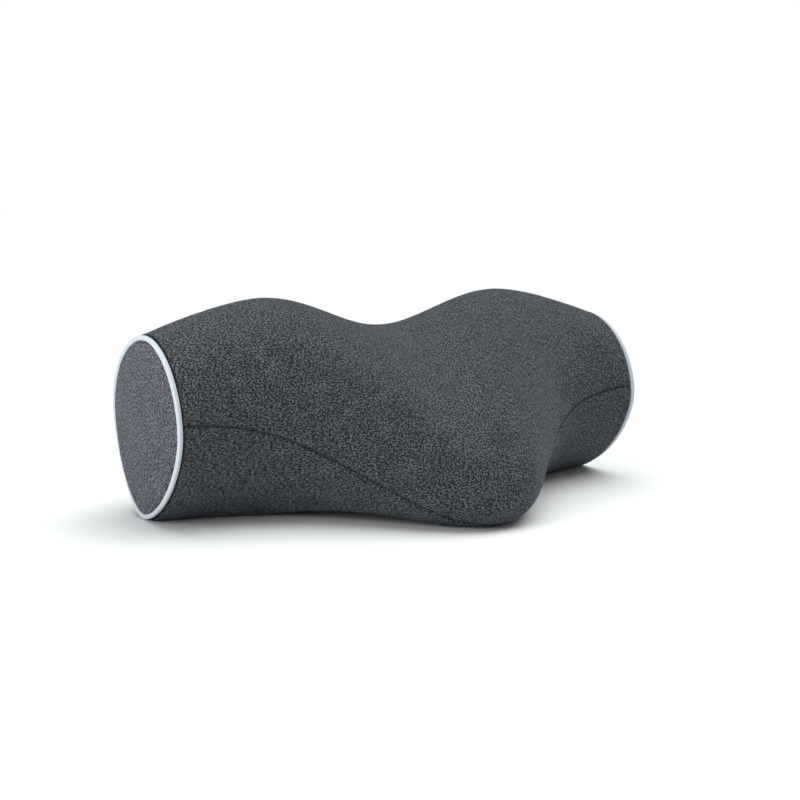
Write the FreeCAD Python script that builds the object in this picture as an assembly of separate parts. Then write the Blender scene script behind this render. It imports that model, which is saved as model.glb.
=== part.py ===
import FreeCAD, Part
import math
import os

# Cervical traction pillow: a moulded foam core in a thin liner, inside a knitted zip-off cover.
# Millimetres. X runs along the pillow, +Y is its back, -Y its front tongue, +Z is up.
# The origin lies on the rest plane, midway along the pillow, under the axis of the neck roll.

VEC = FreeCAD.Vector

# Overall shape
PIPING_X = 160.4            # plane of each end's piping
PANEL_X = PIPING_X + 0.9    # rim plane of each end panel
HALF_LENGTH = 165.0         # crown of each end panel's dome
HUMP_X = 85.0               # hump tops, each side of the middle
HUMP_Z = 125.0
SADDLE_Z = 105.0            # neck saddle, at the middle
END_Z = 106.3               # top of the oval end
BACK_Y = 51.0               # back of the roll
BACK_END_Y = 48.6
FRONT_Y = 48.5              # front of the roll, where there is no tongue
TIP_Y = 129.0               # tip of the tongue: 180 mm from front to back
SHOULDER_POWER = 1.5        # how the roll falls away from hump to end

# Heights of the section's widest points
FRONT_Z = 58.0
BACK_Z = 62.7
BACK_BOTTOM_Y = 7.8         # lowest point of the roll's own section
NOSE_Z = 14.0               # front-most point of the tongue
NOSE_BOTTOM_Y = -39.6       # where the tongue's underside starts to curve up
SINK = 6.0                  # the section's own bottom lies this far under the rest plane
END_SINK = 1.0

# The tongue's plan: how far it spreads sideways
TONGUE_SPREAD = 70.5
TONGUE_POWER = 2.15
NOSE_POWER = 1.31
NOSE_ROUND = 8.0

# The underside is lifted in a shallow arch between the tongue and each end
ARCH_X = 62.0
ARCH_HALF = 38.0
ARCH_LIFT = 6.0

# Roundness of the section's quarters: 2 is an ellipse, less is leaner, more is fuller
LEAN_TOP = 1.9
LEAN_BOTTOM = 1.6
NOSE_TOP = 1.6
NOSE_UNDER = 2.55
FULL = 2.0

# The crown of the section, from the saddle over the hump to the end
CROWN_SADDLE_Y = 4.9
CROWN_HUMP_Y = 2.5
CROWN_END_Y = -1.0

# Layers, as insets from the cover's outside
COVER = 1.2
LINER_OUT = 2.0
LINER_IN = 2.6
FOAM = 2.8
FOAM_END = 3.6              # the foam stops a little shorter at its ends

# Seams: the front seam falls from the ends to the tongue's nose; the rear one carries the zip
SEAM_LOW = 2.0
SEAM_HIGH = 62.0
SEAM_SPREAD = 81.0
SEAM_POWER = 2.25
SEAM_GAP = 0.8
THREAD_R = 0.25
THREAD_DEPTH = 0.6

# Piping: a cord in a bias tape
PIPING_R = 1.5
PIPING_INSET = 0.8
TAPE_INNER_R = 1.1
CORD_R = 1.05
CLEAR = 0.15
RING_LOW = PIPING_R + 0.05  # lowest point of the piping's centre line
END_RELIEF = 3.15           # radius round the piping that the foam leaves to the seam
END_THREAD_X = PIPING_X - 2.0
END_THREAD_INSET = 2.4

# Zip, coil size 3, in the rear seam
ZIP_HALF = 120.0
TAPE_W = 7.0
TAPE_T = 0.6
TAPE_OUT = -0.4             # the tape's outer face, from the back of the roll
SLIT = 0.65                 # half the gap between the two coils, where the slider's post runs
COIL_W = 1.85
COIL_T = 1.4
COIL_END = 4.0              # bare tape at each end
STOP_L = 1.7
SLIDER_L = 9.2
SLIDER_W = 7.2
PLATE_T = 0.7
BRIDGE_L = 6.8
BRIDGE_W = 1.6
BRIDGE_RISE = 1.8
BRIDGE_T = 0.8
EYE_BAR = 0.9
EYE_L = 4.2
EYE_W = 2.6
PULL_W = 6.0
PULL_L = 24.0

# Care label, folded over and caught in the rear seam
LABEL_X = -142.0
LABEL_W = 18.0
LABEL_L = 24.0
LABEL_T = 0.5
LABEL_ROOT = LINER_OUT - CLEAR   # how deep in the seam it is caught

STATIONS = 45
SECTION_POINTS = 64
RING_POINTS = 40


def blend(a, b, share):
    return a + (b - a) * share


def hump(s):
    """0 in the saddle, 1 on the hump's top and past it."""
    return (1 - math.cos(math.pi * min(s / HUMP_X, 1))) / 2


def shoulder(s):
    """0 up to the hump's top, 1 at the piping."""
    return max(s - HUMP_X, 0) / (PIPING_X - HUMP_X)


def crown_z(s):
    if s < HUMP_X:
        return blend(SADDLE_Z, HUMP_Z, hump(s))
    return blend(HUMP_Z, END_Z, shoulder(s) ** SHOULDER_POWER)


def seam_z(x):
    """Height of the front seam."""
    fall = math.exp(-((abs(x) / SEAM_SPREAD) ** SEAM_POWER))
    return blend(SEAM_HIGH, SEAM_LOW, fall)


class Section:
    """The pillow's outline across its length, at one x, inset by a layer's depth."""

    def __init__(self, x, inset=0.0):
        s = abs(x)
        end = shoulder(s) ** SHOULDER_POWER
        tongue = math.exp(-((s / TONGUE_SPREAD) ** TONGUE_POWER))
        near = math.hypot(s, NOSE_ROUND) - NOSE_ROUND
        nose = math.exp(-((near / TONGUE_SPREAD) ** NOSE_POWER))
        self.inset = inset
        self.top_y = blend(blend(CROWN_SADDLE_Y, CROWN_HUMP_Y, hump(s)), CROWN_END_Y, end)
        self.top_z = crown_z(s) - inset
        self.front_y = -blend(FRONT_Y, TIP_Y, tongue) + inset
        self.front_z = blend(FRONT_Z, NOSE_Z, nose)
        self.back_y = blend(BACK_Y, BACK_END_Y, shoulder(s) ** 3) - inset
        self.back_z = BACK_Z
        self.low_z = -blend(SINK, END_SINK, end) + inset
        self.front_low_y = blend(BACK_BOTTOM_Y, NOSE_BOTTOM_Y, tongue)
        self.back_low_y = BACK_BOTTOM_Y
        self.powers = (
            blend(LEAN_TOP, NOSE_TOP, tongue),
            LEAN_TOP,
            blend(FULL, LEAN_BOTTOM, end),
            blend(LEAN_BOTTOM, NOSE_UNDER, tongue),
        )

    def point(self, angle):
        """(y, z) at an angle: 0 is the front, a quarter turn the crown, a half turn the back."""
        quarter = int(math.floor(angle / (math.pi / 2))) % 4
        power = self.powers[quarter]
        across = abs(math.cos(angle)) ** (2 / power)
        up = abs(math.sin(angle)) ** (2 / power)
        side_y = self.front_y if quarter in (0, 3) else self.back_y
        side_z = self.front_z if quarter in (0, 3) else self.back_z
        if quarter < 2:
            mid_y, far_z = self.top_y, self.top_z
        else:
            mid_y = self.front_low_y if quarter == 3 else self.back_low_y
            far_z = self.low_z
        return blend(mid_y, side_y, across), blend(side_z, far_z, up)

    def angle_at(self, z, side):
        """The angle where the outline passes height z, on the "front" or the "back"."""
        side_z = self.front_z if side == "front" else self.back_z
        if z >= side_z:
            share = (z - side_z) / (self.top_z - side_z)
            power = self.powers[0] if side == "front" else self.powers[1]
            turn = math.asin(share ** (power / 2))
        else:
            share = (side_z - z) / (side_z - self.low_z)
            power = self.powers[3] if side == "front" else self.powers[2]
            turn = -math.asin(share ** (power / 2))
        return turn if side == "front" else math.pi - turn

    def arch(self, count, floor):
        """The outline from the front of the base over the crown to the back of the base."""
        first = self.angle_at(floor, "front")
        last = self.angle_at(floor, "back")
        dense = [self.point(blend(first, last, i / 400)) for i in range(401)]
        path = Part.makePolygon([VEC(0, y, z) for y, z in dense])
        points = path.discretize(Number=count)
        points[0].z = points[-1].z = floor
        return points


def patch(rows):
    surface = Part.BSplineSurface()
    surface.interpolate(rows)
    return surface


def sewn(faces):
    """One closed solid from faces that share their edges."""
    skin = Part.Compound(faces)
    skin.sewShape()
    solid = Part.Solid(skin.Shells[0])
    if solid.Volume < 0:
        solid.reverse()
    return solid


def flat_face(edges):
    return Part.Face(Part.Wire(Part.__sortEdges__(edges)))


def arch_void(side, inset):
    """A round bar whose upper side is the roof of one arch; each layer keeps its inset from it."""
    radius = (ARCH_HALF ** 2 + ARCH_LIFT ** 2) / (2 * ARCH_LIFT)
    start = VEC(side * ARCH_X, -2 * TIP_Y, ARCH_LIFT - radius)
    return Part.makeCylinder(radius + inset, 4 * TIP_Y, start, VEC(0, 1, 0))


def roll(inset, reach):
    """The pillow's body at one inset, square-ended, out to x = +-reach."""
    rows = []
    for i in range(STATIONS):
        x = blend(-reach, reach, i / (STATIONS - 1))
        rows.append([VEC(x, p.y, p.z) for p in Section(x, inset).arch(SECTION_POINTS, inset)])
    surface = patch(rows)
    arch = surface.toShape()
    front = surface.vIso(surface.bounds()[2]).toShape()
    back = surface.vIso(surface.bounds()[3]).toShape()
    faces = [arch]
    ends = []
    for row, u in ((rows[0], surface.bounds()[0]), (rows[-1], surface.bounds()[1])):
        rim = surface.uIso(u).toShape()
        line = Part.makeLine(row[0], row[-1])
        ends.append(line)
        faces.append(flat_face([rim, line]))
    faces.append(flat_face([front, back] + ends))
    return sewn(faces).cut([arch_void(side, inset) for side in (-1, 1)])


def dome_x(y, z, inset):
    """Distance of an end panel from the middle: a shallow dome over the oval end."""
    rim = Section(PIPING_X)
    mid_y = (rim.front_y + rim.back_y) / 2
    mid_z = rim.top_z / 2
    q = ((y - mid_y) / (rim.back_y - mid_y)) ** 2 + ((z - mid_z) / mid_z) ** 2
    return PANEL_X - inset + (HALF_LENGTH - PANEL_X) * (1 - q)


def dome_sheet(side, inset):
    """A dome wide enough to cut every layer's end; side is -1 left, 1 right."""
    reach = 160.0
    steps = 9
    rows = []
    for i in range(steps):
        y = blend(-reach, reach, i / (steps - 1))
        heights = [blend(-reach, reach + END_Z, j / (steps - 1)) for j in range(steps)]
        rows.append([VEC(side * dome_x(y, z, inset), y, z) for z in heights])
    return patch(rows).toShape()


def dome_slab(side, outer, inner):
    """The space between two insets of one end's dome; inner may be a plane at that x."""
    near = dome_sheet(side, outer)
    if inner is None:
        return near.extrude(VEC(-side * 2 * HALF_LENGTH, 0, 0))
    return near.extrude(VEC(-side * (inner - outer), 0, 0))


def slab(low, high):
    return Part.makeBox(*(high - low), low)


def foam_core():
    """The moulded foam, relieved round each end for the seam that holds the piping."""
    core = roll(FOAM, HALF_LENGTH)
    for side in (-1, 1):
        core = core.common(dome_slab(side, FOAM_END, None))
        core = core.cut(swept(oval(side * PIPING_X, PIPING_INSET), END_RELIEF))
    return core


def tube(outer, inner, half):
    """An open-ended sleeve between two insets."""
    return roll(outer, half).cut(roll(inner, half + 2))


def end_disc(side, outer, inner, rim_inset):
    """A domed sheet inside the oval end, its rim set in by rim_inset."""
    rim = Part.Face(Part.Wire(oval(side * 150, rim_inset)))
    plug = rim.extrude(VEC(side * 30, 0, 0))
    return plug.common(dome_slab(side, outer, inner))


def below_front_seam(shift):
    """All the space under the front seam, forward of the roll's axis."""
    reach = HALF_LENGTH + 10
    steps = 36
    line = [blend(-reach, reach, i / steps) for i in range(steps + 1)]
    top = Part.BSplineCurve()
    top.interpolate([VEC(x, -200, seam_z(x) + shift) for x in line])
    start, stop = top.StartPoint, top.EndPoint
    foot = [VEC(stop.x, -200, -50), VEC(start.x, -200, -50)]
    sides = Part.makePolygon([stop] + foot + [start])
    face = flat_face([top.toShape()] + sides.Edges)
    return face.extrude(VEC(0, 200, 0))


def below_rear_seam(shift):
    return slab(VEC(-200, 0, -50), VEC(200, 200, BACK_Z + shift))


def cover_panels():
    """The cover's top and bottom panels, parted at the front and rear seams."""
    half = PIPING_X - PIPING_R - CLEAR
    sleeve = tube(0.0, COVER, half)
    gap = SEAM_GAP / 2
    top = sleeve.cut(below_front_seam(gap)).cut(below_rear_seam(gap))
    bottom = sleeve.common(below_front_seam(-gap).fuse(below_rear_seam(-gap)))
    edge = TAPE_W + SLIT + SEAM_GAP
    opening = slab(VEC(-ZIP_HALF - gap, 20, BACK_Z - edge), VEC(ZIP_HALF + gap, 80, BACK_Z + edge))
    return top.cut(opening), bottom.cut(opening)


def oval(x, inset):
    """A closed line round the oval end, lifted so that the piping clears the rest plane."""
    rim = Section(PIPING_X, inset)
    rim.low_z = RING_LOW + inset - PIPING_INSET
    dense = [rim.point(2 * math.pi * i / 400) for i in range(401)]
    oval = Part.makePolygon([VEC(x, y, z) for y, z in dense])
    line = Part.BSplineCurve()
    line.interpolate(Points=oval.discretize(Number=RING_POINTS + 1)[:-1], PeriodicFlag=True)
    return line.toShape()


def swept(path, radius):
    """A round bar along a smooth line."""
    start = path.valueAt(path.FirstParameter)
    along = path.tangentAt(path.FirstParameter)
    ring = Part.Wire(Part.makeCircle(radius, start, along))
    return Part.Wire(path).makePipeShell([ring], True, False)


def piping(side):
    path = oval(side * PIPING_X, PIPING_INSET)
    tape = swept(path, PIPING_R).cut(swept(path, TAPE_INNER_R))
    return tape, swept(path, CORD_R)


def end_seam_thread(side):
    return swept(oval(side * END_THREAD_X, END_THREAD_INSET), THREAD_R)


def front_seam_thread():
    reach = PIPING_X - PIPING_R - 1.0
    steps = 48
    points = []
    for i in range(steps + 1):
        x = blend(-reach, reach, i / steps)
        layer = Section(x, THREAD_DEPTH)
        y, z = layer.point(layer.angle_at(seam_z(x), "front"))
        points.append(VEC(x, y, z))
    path = Part.BSplineCurve()
    path.interpolate(points)
    return swept(path.toShape(), THREAD_R)


def rear_seam_thread(side):
    points = []
    for i in range(7):
        x = side * blend(ZIP_HALF + 1.5, PIPING_X - PIPING_R - 1.0, i / 6)
        points.append(VEC(x, Section(x, THREAD_DEPTH).back_y, BACK_Z))
    path = Part.BSplineCurve()
    path.interpolate(points)
    return swept(path.toShape(), THREAD_R)


def zip_box(x_low, x_high, out_low, out_high, off_low, off_high):
    """A box on the zip: out is measured from the back of the roll, off from the zip's middle."""
    low = VEC(x_low, BACK_Y + out_low, BACK_Z + off_low)
    return slab(low, VEC(x_high, BACK_Y + out_high, BACK_Z + off_high))


def both_sides(side, near, far):
    return sorted((side * near, side * far))


def zip_tape(side):
    near, far = both_sides(side, SLIT, SLIT + TAPE_W)
    return zip_box(-ZIP_HALF, ZIP_HALF, TAPE_OUT - TAPE_T, TAPE_OUT, near, far)


def zip_coil(side):
    near, far = both_sides(side, SLIT, SLIT + COIL_W)
    half = ZIP_HALF - COIL_END
    return zip_box(-half, half, TAPE_OUT, TAPE_OUT + COIL_T, near, far)


def tape_thread(side):
    off = side * (SLIT + TAPE_W + SEAM_GAP / 2)
    y = BACK_Y + TAPE_OUT - TAPE_T / 2
    start = VEC(-ZIP_HALF, y, BACK_Z + off)
    return Part.makeCylinder(THREAD_R, 2 * ZIP_HALF, start, VEC(1, 0, 0))


def zip_stop(x_sign, near, far):
    first = ZIP_HALF - COIL_END + 0.1
    low, high = both_sides(x_sign, first, first + STOP_L)
    return zip_box(low, high, TAPE_OUT, TAPE_OUT + COIL_T, near, far)


def zip_top_stops():
    """One small clip at the closed end of each coil."""
    return Part.Compound([zip_stop(1, *both_sides(s, SLIT, SLIT + COIL_W + 0.2)) for s in (-1, 1)])


def zip_bottom_stop():
    """One clip across both coils at the open end."""
    reach = SLIT + COIL_W + 0.2
    return zip_stop(-1, -reach, reach)


def slider_x():
    """Middle of the slider with the zip closed."""
    return ZIP_HALF - COIL_END - SLIDER_L / 2


def slider_top():
    return TAPE_OUT + COIL_T + CLEAR + PLATE_T


def pivot_out():
    """The pull's hinge line, out from the back of the roll."""
    return slider_top() + BRIDGE_RISE / 2


def rounded(box, radius, axis):
    """The box with its edges along one axis rounded."""
    edges = [e for e in box.Edges if abs(e.tangentAt(0).dot(axis)) > 0.99]
    return box.makeFillet(radius, edges)


def zip_slider():
    """Two plates round the coils, joined by a post in the slit, with a bridge for the pull."""
    mid = slider_x()
    start, stop = mid - SLIDER_L / 2, mid + SLIDER_L / 2
    half = SLIDER_W / 2
    out = VEC(0, 1, 0)
    under = TAPE_OUT - TAPE_T - CLEAR
    over = TAPE_OUT + COIL_T + CLEAR
    lower = rounded(zip_box(start, stop, under - PLATE_T, under, -half, half), 1.5, out)
    upper = rounded(zip_box(start, stop, over, over + PLATE_T, -half, half), 1.5, out)
    post_half = SLIT - CLEAR
    post = zip_box(stop - 3.2, stop - 1.2, under, over, -post_half, post_half)
    body = lower.fuse([upper, post])
    for side in (-1, 1):
        near, far = both_sides(side, half - PLATE_T, half)
        body = body.fuse(zip_box(start + 1.5, stop - 1.5, TAPE_OUT + CLEAR, over, near, far))
    top = slider_top()
    crown = top + BRIDGE_RISE + BRIDGE_T
    arch = zip_box(mid - BRIDGE_L / 2, mid + BRIDGE_L / 2, top, crown, -BRIDGE_W / 2, BRIDGE_W / 2)
    arch = rounded(arch, 1.2, VEC(0, 0, 1))
    inner = BRIDGE_L / 2 - BRIDGE_T
    hole = zip_box(mid - inner, mid + inner, top, crown - BRIDGE_T, -BRIDGE_W, BRIDGE_W)
    foot = zip_box(mid - BRIDGE_L / 2, mid + BRIDGE_L / 2, top, top + 1.2, -BRIDGE_W / 2, BRIDGE_W / 2)
    arch = arch.fuse(foot).cut(hole)
    return body.fuse(arch).removeSplitter()


def zip_pull():
    """A flat pull whose eye hangs on the slider's bridge; at rest it lies back over the zip."""
    mid = slider_x()
    out = pivot_out()
    half_t = EYE_BAR / 2
    side_w = EYE_W / 2 + EYE_BAR
    eye_end = mid - EYE_L
    loop = zip_box(eye_end - 1.0, mid, out - half_t, out + half_t, -side_w, side_w)
    hole = zip_box(eye_end, mid + half_t, out - 2, out + 2, -EYE_W / 2, EYE_W / 2)
    pivot = VEC(mid, BACK_Y + out, BACK_Z - side_w)
    bar = Part.makeCylinder(half_t, 2 * side_w, pivot, VEC(0, 0, 1))
    blade = zip_box(eye_end - PULL_L, eye_end - 0.9, out - half_t, out + half_t, -PULL_W / 2, PULL_W / 2)
    blade = rounded(blade, 1.6, VEC(0, 1, 0))
    grip_x = eye_end - PULL_L + 5.0
    grip = Part.makeCylinder(1.5, 6, VEC(grip_x, BACK_Y + out - 3, BACK_Z), VEC(0, 1, 0))
    return loop.cut(hole).fuse([bar, blade]).cut(grip).removeSplitter()


def care_label():
    """A folded ribbon caught in the rear seam, which turns down over the lower panel."""
    out = Section(LABEL_X).back_y
    root = Section(LABEL_X + LABEL_W / 2).back_y - LABEL_ROOT
    bend = out + 0.9
    half = LABEL_T / 2
    outline = [
        VEC(0, root, BACK_Z - half),
        VEC(0, bend, BACK_Z - half),
        VEC(0, bend - 2.0, BACK_Z - LABEL_L),
        VEC(0, bend - 2.0 + LABEL_T, BACK_Z - LABEL_L),
        VEC(0, bend + LABEL_T, BACK_Z + half),
        VEC(0, root, BACK_Z + half),
        VEC(0, root, BACK_Z - half),
    ]
    face = Part.Face(Part.makePolygon(outline))
    face.translate(VEC(LABEL_X - LABEL_W / 2, 0, 0))
    return face.extrude(VEC(LABEL_W, 0, 0))


def build():
    sides = {"left": -1, "right": 1}
    halves = {"lower": -1, "upper": 1}
    nodes = {}
    nodes["foam_core"] = foam_core()
    nodes["liner_sleeve"] = tube(LINER_OUT, LINER_IN, PIPING_X - 2.7)
    nodes["top_panel"], nodes["bottom_panel"] = cover_panels()
    nodes["front_seam_thread"] = front_seam_thread()
    rim = PIPING_INSET + PIPING_R + 2 * CLEAR
    for name, side in sides.items():
        nodes["liner_end_" + name] = end_disc(side, LINER_OUT, LINER_IN, rim + CLEAR)
        nodes["end_panel_" + name] = end_disc(side, 0.0, COVER, rim)
        nodes["piping_tape_" + name], nodes["piping_cord_" + name] = piping(side)
        nodes["end_seam_thread_" + name] = end_seam_thread(side)
        nodes["rear_seam_thread_" + name] = rear_seam_thread(side)
    for name, side in halves.items():
        nodes["zip_tape_" + name] = zip_tape(side)
        nodes["zip_coil_" + name] = zip_coil(side)
        nodes["zip_tape_thread_" + name] = tape_thread(side)
    nodes["zip_top_stops"] = zip_top_stops()
    nodes["zip_bottom_stop"] = zip_bottom_stop()
    nodes["zip_slider"] = zip_slider()
    nodes["zip_pull"] = zip_pull()
    nodes["care_label"] = care_label()
    return nodes


os.makedirs("parts", exist_ok=True)
for node, shape in build().items():
    shape.exportStep(f"parts/{node}.step")
    box = shape.BoundBox
    print(f"{node}: {len(shape.Solids)} solids, {shape.Volume / 1000:.2f} cm3, valid {shape.isValid()}, "
          f"x {box.XMin:.2f}..{box.XMax:.2f}, y {box.YMin:.2f}..{box.YMax:.2f}, z {box.ZMin:.2f}..{box.ZMax:.2f}")
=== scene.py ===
import math

import bmesh
import bpy
import numpy as np
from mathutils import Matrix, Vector, noise
from mathutils.bvhtree import BVHTree


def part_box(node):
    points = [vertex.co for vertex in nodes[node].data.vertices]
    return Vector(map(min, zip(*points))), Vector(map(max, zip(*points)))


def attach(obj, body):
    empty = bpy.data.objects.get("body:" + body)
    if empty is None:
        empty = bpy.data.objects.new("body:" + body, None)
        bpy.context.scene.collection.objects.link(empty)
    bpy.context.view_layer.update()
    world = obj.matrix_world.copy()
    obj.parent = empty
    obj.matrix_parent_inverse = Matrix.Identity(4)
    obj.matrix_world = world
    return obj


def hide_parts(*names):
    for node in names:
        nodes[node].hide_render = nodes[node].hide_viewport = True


# Cervical traction pillow: a knitted cover with piped oval ends and a zip, over a foam core.
# Metres, in the CAD model's frame. Outlines and places are read from the CAD nodes. The sizes named
# here belong to details finer than the CAD's: cloth, seams, stitches, folds and coils.

MM = 0.001

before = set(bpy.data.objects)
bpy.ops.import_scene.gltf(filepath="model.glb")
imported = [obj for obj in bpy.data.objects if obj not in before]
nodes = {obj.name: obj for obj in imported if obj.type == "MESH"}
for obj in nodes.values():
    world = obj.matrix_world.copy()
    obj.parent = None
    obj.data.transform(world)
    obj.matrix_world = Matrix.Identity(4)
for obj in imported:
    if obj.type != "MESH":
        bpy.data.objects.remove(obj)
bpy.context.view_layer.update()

# The cover's mesh
STATION = 1.6 * MM          # spacing along the pillow
EDGE_ROWS = np.array([0, 0.25, 0.55, 0.9, 1.35, 1.9, 2.6, 3.5, 4.6]) * MM   # rows beside each seam
TOP_ROWS, BOTTOM_ROWS = 150, 110
ANGLES = 900                # rays round each section
RAY_FAR = 0.3               # where they start
SKIN_GAP = (1.2 * MM, 4.0 * MM)     # liner to cover; outside this range a ray fell into a seam

# Cloth
CLOTH_T = 1.0 * MM          # thickness of the cover's knit
TUCK = 2.6 * MM             # how far the cloth turns in under the piping
TUCK_R = 1.2 * MM           # rounding where it turns in
TUCK_TURNS = np.radians([18, 36, 54, 72, 90])
SWAY = 0.16 * MM            # slight unevenness of the stretched cloth
SWAY_SIZE, SWAY_FINE_SIZE, DOME_SWAY_SIZE = 24 * MM, 7 * MM, 18 * MM

# Seams
GROOVE_DEPTH = 0.9 * MM     # how far a seam sinks into the cloth
GROOVE_WIDTH = 0.8 * MM
SHOULDER = 0.14 * MM        # swelling of the cloth beside a seam
SHOULDER_AT, SHOULDER_WIDTH = 2.3 * MM, 1.4 * MM
CREASE_REACH = 0.55 * MM    # the shade in a seam fades over this distance
CREASE_SHADE = 0.95
PUCKER = 0.16 * MM
PUCKER_REACH = 6.0 * MM
FRONT_PUCKERS, REAR_PUCKERS = 6.5 * MM, 7.5 * MM    # spacing of the ripples along each seam
END_PUCKERS, DOME_PUCKERS = 6.0 * MM, 6.2 * MM
STITCH_PITCH = 2.4 * MM
STITCH_LENGTH = 1.5 * MM    # of the bars that cross a plain seam
STITCH_RISE = 0.3 * MM
THREAD_SUNK = 0.22 * MM     # from the bottom of the groove up to those bars
THREAD_R = 0.2 * MM

# Swelling of the padding between its seams, from a short cloth simulation
PUFF_CAP = 1.2 * MM
SIM_FRAMES = 20
SIM_START = 0.4 * MM        # the cloth starts this far inside the cover
SIM_ROWS, SIM_COLS = 52, 40
SIM_MASS = 0.25
SIM_STRETCH, SIM_SHEAR, SIM_BEND = 12, 4, 1.5
SIM_PRESSURE = 4.0

# Piping
PIPING_R = (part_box("piping_tape_left")[1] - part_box("piping_tape_left")[0]).x / 2
PIPING_HOLE_R = (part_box("piping_cord_left")[1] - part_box("piping_cord_left")[0]).x / 2 + 0.04 * MM
PIPING_NIP = 0.1 * MM       # how far the cloth presses into the piping's flank
GATHER = 0.022              # how much the tape thins and thickens where it is gathered
GATHER_PITCH = 3.4 * MM
RING_BINS = 120             # sectors in which the cord's middle is found
PIPING_COUNT, PIPING_SIDES, HOLE_SIDES = 480, 20, 12
DOME_COUNT = 288            # points round each end panel
DOME_RINGS = 34

# The zip, as the CAD has it
TAPE_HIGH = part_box("zip_tape_upper")[1]
ZIP_HALF = TAPE_HIGH.x
ZIP_Z = (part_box("zip_tape_lower")[0].z + TAPE_HIGH.z) / 2
ZIP_FOLD = 4.3 * MM         # from the zip's middle to the folded edge of the cloth
FOLD_LIFT = 1.05 * MM       # the cloth rides up over the tape
FOLD_FLAT, FOLD_FADE = 4 * MM, 9 * MM   # the lift stays for the first, and fades over the second
FOLD_R = 0.6 * MM
PUFF_FLAT, PUFF_FADE = 8 * MM, 12 * MM  # beside the zip the cloth can't swell
ZIP_PAST, ZIP_FADE = 7 * MM, 8 * MM     # how far past the zip's ends its folds reach
ZIP_END_R = 2.3 * MM        # rounding at each end of the zip's opening
TOPSTITCH = EDGE_ROWS[6]    # from the fold to the row of stitches beside it
TOPSTITCH_DIP, TOPSTITCH_WIDTH = 0.3 * MM, 0.6 * MM
TAPE_BEAD = 0.25 * MM       # the cord woven into each tape's outer edge
TAPE_BEAD_AT, TAPE_BEAD_WIDTH = 6.2 * MM, 0.5 * MM
COIL_PITCH = 1.25 * MM
COIL_WIRE = 0.3 * MM
COIL_REACH = 0.15 * MM      # how far each loop passes the middle of the zip
COIL_STEPS = 14             # points in each turn

# Label
LABEL_T = 0.22 * MM
LABEL_GAP = 0.4 * MM        # between the label and the cover's back
LABEL_BOW = 0.5 * MM
LABEL_LEAF = 2.2            # distance between its two leaves, in thicknesses

# Camera
CAMERA_TURN = 32.4          # degrees to the left of straight ahead
CAMERA_RISE = 8.1           # degrees above the floor
CAMERA_DISTANCE = 0.8666
CAMERA_LENS = 61.9
AIM = (9.3 * MM, 0.0, 57.3 * MM)

# Studio
SKY_LIGHT = 0.30
KEY_FROM = (0.32, 0.05, 0.95)
KEY_LIGHT = 3.05
KEY_SPREAD = 70
LEFT_FROM = (-1.0, -0.1, 0.35)
LEFT_LIGHT = 5.5
LEFT_DISTANCE, LEFT_SIZE = 1.2, 0.8
FLOOR_HALF = 30.0


# ---------------------------------------------------------------- reading the frame

def cad_points(name):
    """A CAD node's vertices, one row each."""
    mesh = nodes[name].data
    co = np.empty(len(mesh.vertices) * 3)
    mesh.vertices.foreach_get("co", co)
    return co.reshape(-1, 3)


def cad_tree(*names):
    """One search tree over the surfaces of some CAD nodes."""
    points, faces = [], []
    for name in names:
        start = sum(len(p) for p in points)
        mesh = nodes[name].data
        mesh.calc_loop_triangles()
        corners = np.empty(len(mesh.loop_triangles) * 3, np.int64)
        mesh.loop_triangles.foreach_get("vertices", corners)
        points.append(cad_points(name))
        faces.append(corners.reshape(-1, 3) + start)
    return BVHTree.FromPolygons(np.concatenate(points).tolist(), np.concatenate(faces).tolist())


def centre_line(name, bins):
    """Height and depth of a long thin CAD node at each of some x positions."""
    co = cad_points(name)
    order = np.argsort(co[:, 0])
    co = co[order]
    half = 2.0 * MM
    found = []
    for x in bins:
        near = co[(co[:, 0] > x - half) & (co[:, 0] < x + half)]
        found.append(near.mean(0)[1:] if len(near) else [np.nan, np.nan])
    found = np.array(found)
    good = ~np.isnan(found[:, 0])
    return np.stack([np.interp(bins, bins[good], found[good, k]) for k in (0, 1)], 1)


def smooth(values, steps, axis, wrap=False):
    """Repeated 1-2-1 averaging along one axis."""
    for _ in range(steps):
        if wrap:
            values = (np.roll(values, 1, axis) + 2 * values + np.roll(values, -1, axis)) / 4
            continue
        low = np.take(values, [0], axis)
        high = np.take(values, [-1], axis)
        wide = np.concatenate([low, values, high], axis)
        n = values.shape[axis]
        before = np.take(wide, range(0, n), axis)
        after = np.take(wide, range(2, n + 2), axis)
        values = (before + 2 * values + after) / 4
    return values


def stations(reach):
    """Where sections are taken along the pillow: evenly, and closer at the ends of the zip."""
    even = np.linspace(-reach, reach, int(round(2 * reach / STATION)) + 1)
    close = np.linspace(-2.4 * MM, 1.2 * MM, 8) + ZIP_HALF
    near_zip = np.abs(np.abs(even) - ZIP_HALF - 0.6 * MM) < 3.0 * MM - STATION / 2
    return np.sort(np.concatenate([even[~near_zip], close, -close]))


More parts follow.
